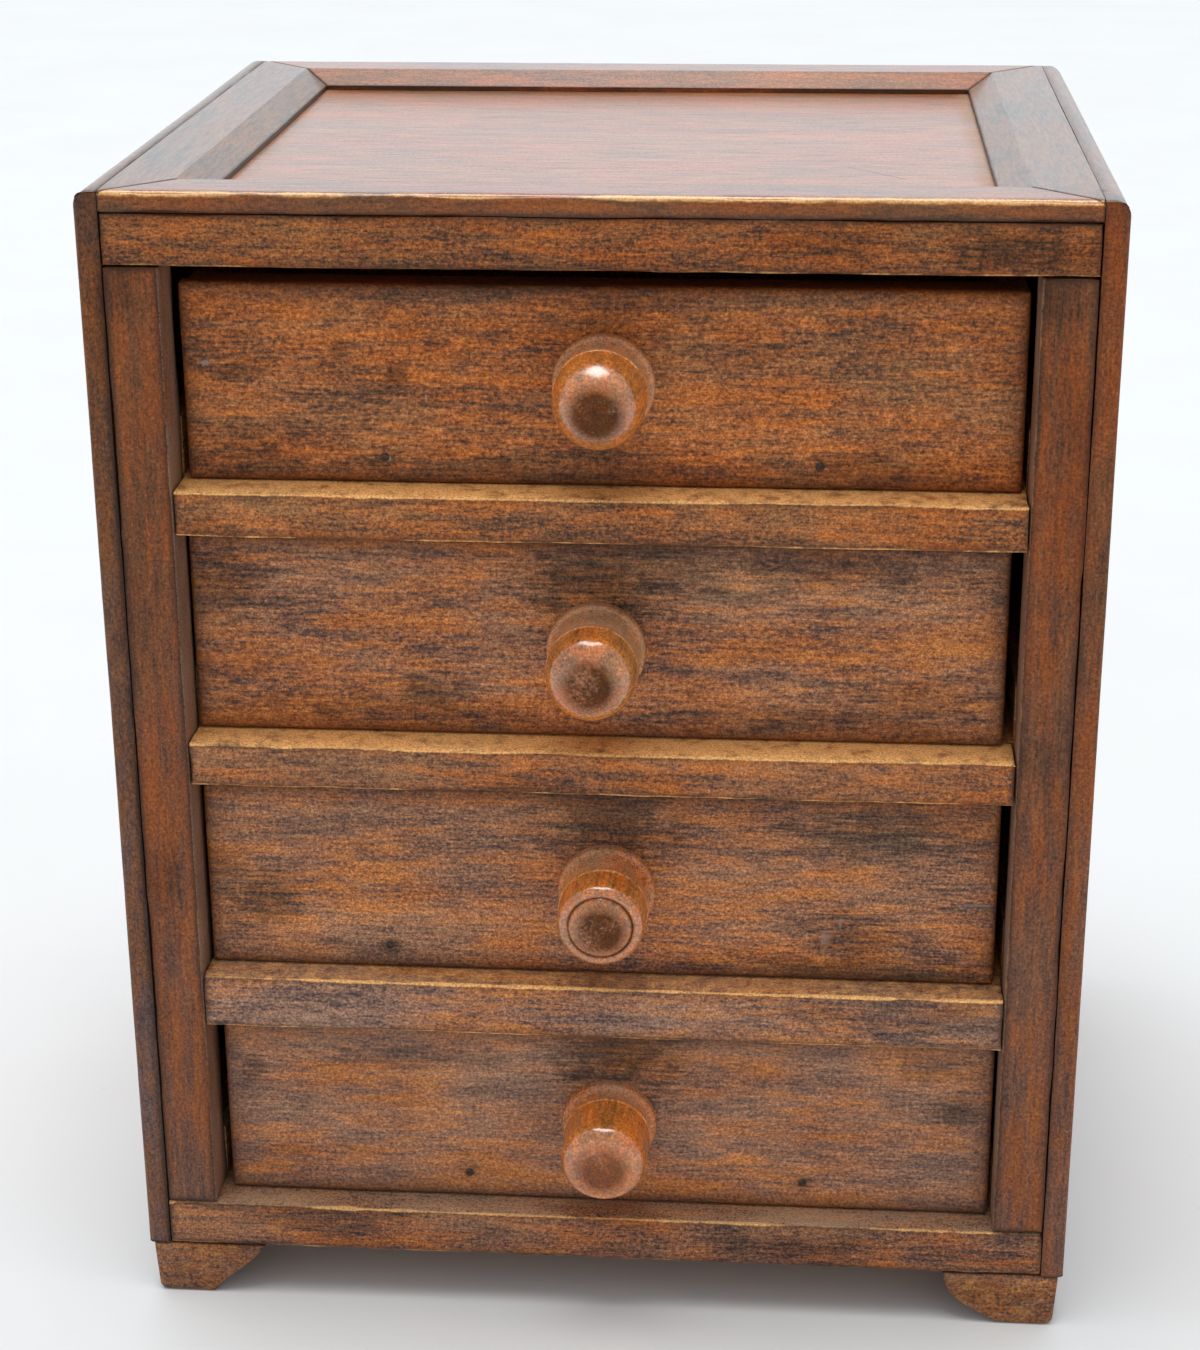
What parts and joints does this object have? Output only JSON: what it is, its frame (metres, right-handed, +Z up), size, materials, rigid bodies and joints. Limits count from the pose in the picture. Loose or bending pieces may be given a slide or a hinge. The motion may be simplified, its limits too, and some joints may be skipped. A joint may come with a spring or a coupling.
{
  "type": "tabletop chest of drawers",
  "caption": "Small wooden tabletop chest with inset sliding drawers, turned knobs, mitred framed top and sides, and bracket feet, for keeping small things.",
  "frame": {"origin": "on the surface the feet stand on, below the middle of the whole chest, knobs included", "axes": "+X to the right as seen from the front, +Y to the back, +Z up"},
  "size_m": [0.2, 0.1818, 0.245],
  "materials": {
    "frame_wood": "dark red-brown stain with worn polish, satin",
    "panel_wood": "dark red-brown stain with worn polish, satin",
    "drawer_front_wood": "dark red-brown stain with worn polish, satin",
    "knob_wood": "turned and polished by use, semi-gloss",
    "drawer_box_wood": "unstained, dusty, matt",
    "inner_wood": "unstained, dusty, matt"
  },
  "bodies": {
    "carcass": {"back_panel": "inner_wood", "bottom_board": "inner_wood", "divider_1": "frame_wood", "divider_2": "frame_wood", "divider_3": "frame_wood", "foot_back_left": "frame_wood", "foot_back_right": "frame_wood", "foot_front_left": "frame_wood", "foot_front_right": "frame_wood", "front_bottom_rail": "frame_wood", "front_stile_left": "frame_wood", "front_stile_right": "frame_wood", "front_top_rail": "frame_wood", "left_frame_back": "frame_wood", "left_frame_bottom": "frame_wood", "left_frame_front": "frame_wood", "left_frame_top": "frame_wood", "left_panel": "panel_wood", "right_frame_back": "frame_wood", "right_frame_bottom": "frame_wood", "right_frame_front": "frame_wood", "right_frame_top": "frame_wood", "right_panel": "panel_wood", "runners_1": "inner_wood", "runners_2": "inner_wood", "runners_3": "inner_wood", "runners_4": "inner_wood", "top_frame_back": "frame_wood", "top_frame_front": "frame_wood", "top_frame_left": "frame_wood", "top_frame_right": "frame_wood", "top_panel": "panel_wood"},
    "drawer_1": {"drawer_1_back": "drawer_box_wood", "drawer_1_bottom": "drawer_box_wood", "drawer_1_front": "drawer_front_wood", "drawer_1_knob": "knob_wood", "drawer_1_left_side": "drawer_box_wood", "drawer_1_right_side": "drawer_box_wood"},
    "drawer_2": {"drawer_2_back": "drawer_box_wood", "drawer_2_bottom": "drawer_box_wood", "drawer_2_front": "drawer_front_wood", "drawer_2_knob": "knob_wood", "drawer_2_left_side": "drawer_box_wood", "drawer_2_right_side": "drawer_box_wood"},
    "drawer_3": {"drawer_3_back": "drawer_box_wood", "drawer_3_bottom": "drawer_box_wood", "drawer_3_front": "drawer_front_wood", "drawer_3_knob": "knob_wood", "drawer_3_left_side": "drawer_box_wood", "drawer_3_right_side": "drawer_box_wood"},
    "drawer_4": {"drawer_4_back": "drawer_box_wood", "drawer_4_bottom": "drawer_box_wood", "drawer_4_front": "drawer_front_wood", "drawer_4_knob": "knob_wood", "drawer_4_left_side": "drawer_box_wood", "drawer_4_right_side": "drawer_box_wood"}
  },
  "joints": [
    {"name": "drawer_1_slide", "type": "slide", "parent": "carcass", "child": "drawer_1", "axis": [0, -1, 0], "range_m": [0, 0.12]},
    {"name": "drawer_2_slide", "type": "slide", "parent": "carcass", "child": "drawer_2", "axis": [0, -1, 0], "range_m": [0, 0.12]},
    {"name": "drawer_3_slide", "type": "slide", "parent": "carcass", "child": "drawer_3", "axis": [0, -1, 0], "range_m": [0, 0.12]},
    {"name": "drawer_4_slide", "type": "slide", "parent": "carcass", "child": "drawer_4", "axis": [0, -1, 0], "range_m": [0, 0.12]}
  ]
}
